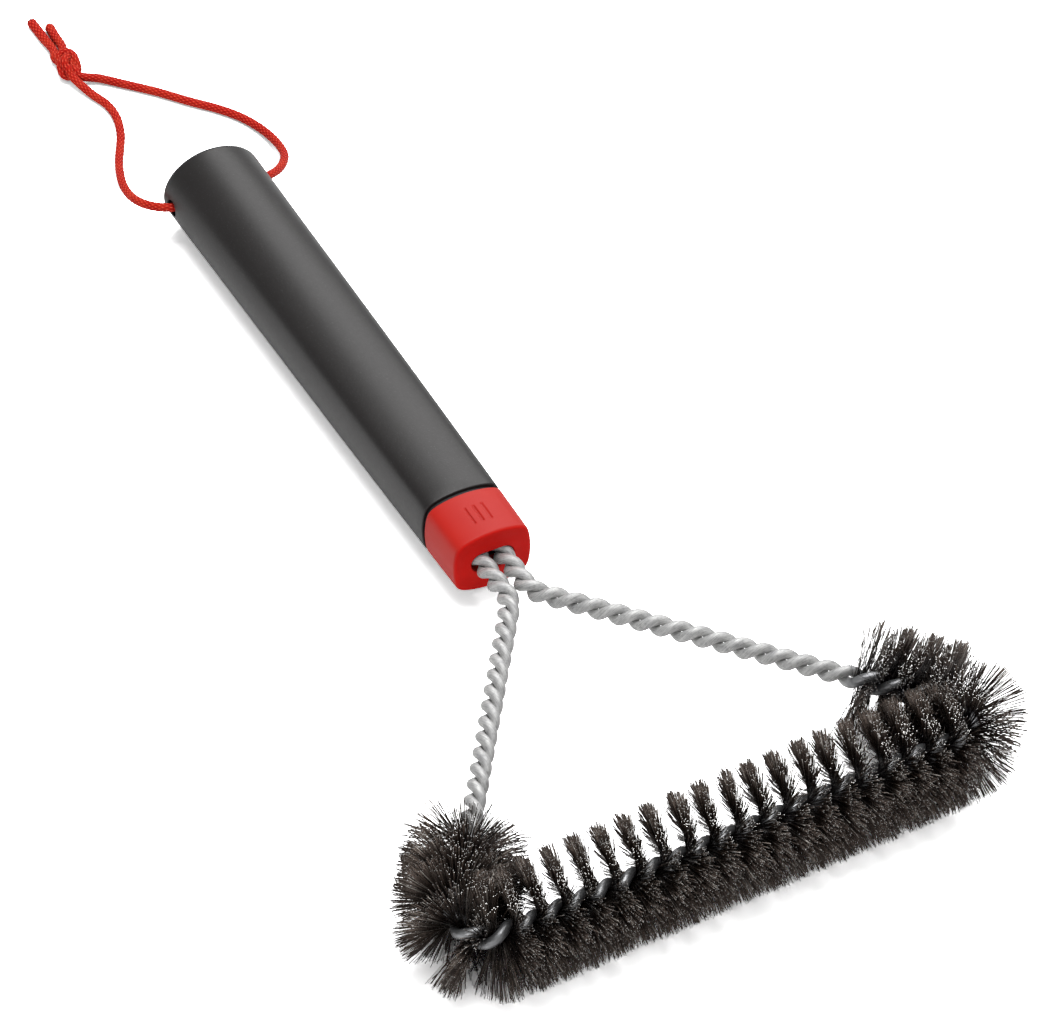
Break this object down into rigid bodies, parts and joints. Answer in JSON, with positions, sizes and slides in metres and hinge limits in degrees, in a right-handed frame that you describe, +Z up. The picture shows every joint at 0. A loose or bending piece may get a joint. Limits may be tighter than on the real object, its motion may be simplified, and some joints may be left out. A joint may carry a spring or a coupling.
{
  "type": "grill cleaning brush",
  "caption": "Three-sided wire grill brush: tapered handle with a coloured nose collar, twisted wire stem bent into a triangle, steel filament pack and a hanging cord.",
  "frame": {"origin": "centre of the flat butt face of the handle", "axes": "+Y out of the butt along the handle's axis, so the wire head is towards -Y; +Z up, square to the plane of the wire head; +X to the right seen from above with the head towards the viewer's feet"},
  "size_m": [0.1781, 0.4002, 0.0326],
  "materials": {
    "handle": "satin charcoal with a fine speckle",
    "core": "black moulded",
    "collar": "satin red",
    "ferrule": "crimped steel",
    "wire": "bright galvanised wire",
    "bristles": "dark oiled steel filament",
    "cord": "braided, red"
  },
  "bodies": {
    "brush": {"handle_sleeve": "handle", "handle_core": "core", "collar": "collar", "stem_ferrule": "ferrule", "wire_strand_a": "wire", "wire_strand_b": "wire", "bristles_bar": "bristles", "bristles_corner_left": "bristles", "bristles_corner_right": "bristles", "bristles_arm_left": "bristles", "bristles_arm_right": "bristles"},
    "cord": {"hanging_cord": "cord"}
  },
  "joints": [
    {"name": "cord_swing", "type": "hinge", "parent": "brush", "child": "cord", "pos_m": [0, -0.006, 0], "axis": [1, 0, 0], "range_deg": [-145, 165]}
  ]
}
